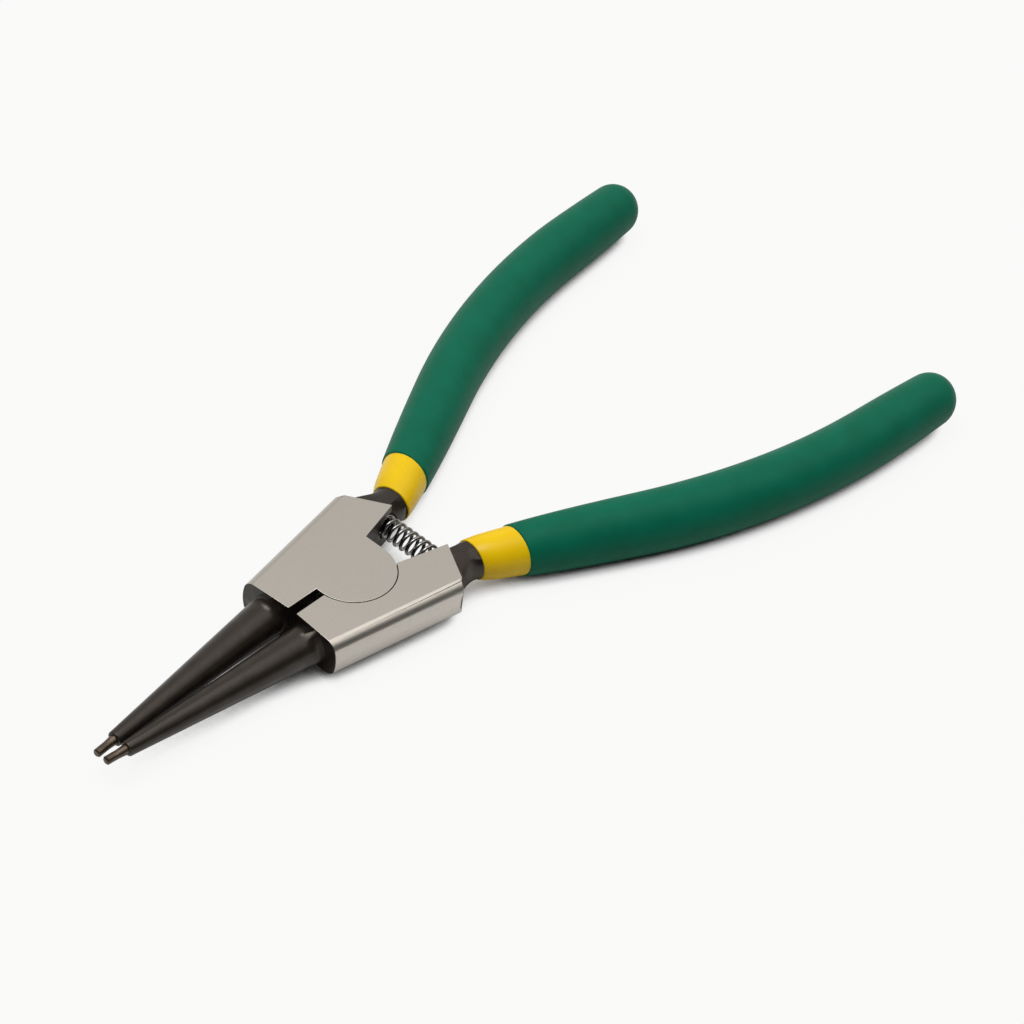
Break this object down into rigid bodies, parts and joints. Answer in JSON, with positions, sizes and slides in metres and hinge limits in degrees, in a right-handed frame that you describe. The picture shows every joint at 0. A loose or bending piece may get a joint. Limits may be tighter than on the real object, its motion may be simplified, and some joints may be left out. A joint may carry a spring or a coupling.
{
  "type": "circlip pliers",
  "caption": "Straight circlip pliers for rings on shafts: squeezing the dipped handles spreads the thin tip pins, and a coil spring reopens the handles.",
  "frame": {"origin": "centre of the pivot, on its axis at mid thickness of the head", "axes": "+X from the handles to the tips, +Z along the pivot's axis, +Y towards the left lever"},
  "size_m": [0.1796, 0.0898, 0.012],
  "materials": {
    "forged_steel": "ground head, blackened jaws and necks",
    "ground_steel": "ground",
    "spring_wire": "bright drawn wire",
    "pin_steel": "tempered brown",
    "yellow_dip": "glossy dip",
    "green_dip": "satin dip"
  },
  "bodies": {
    "right_half": {"right_lever": "forged_steel", "right_tip_pin": "pin_steel", "right_undercoat": "yellow_dip", "right_grip": "green_dip", "pivot_rivet": "ground_steel", "return_spring": "spring_wire"},
    "left_half": {"left_lever": "forged_steel", "left_tip_pin": "pin_steel", "left_undercoat": "yellow_dip", "left_grip": "green_dip"}
  },
  "joints": [
    {"name": "squeeze", "type": "hinge", "parent": "right_half", "child": "left_half", "pos_m": [0, 0, 0], "axis": [0, 0, 1], "range_deg": [0, 25], "stiffness_Nm_per_rad": 0.29, "springref_deg": -20.05, "deforming": ["return_spring"]}
  ]
}
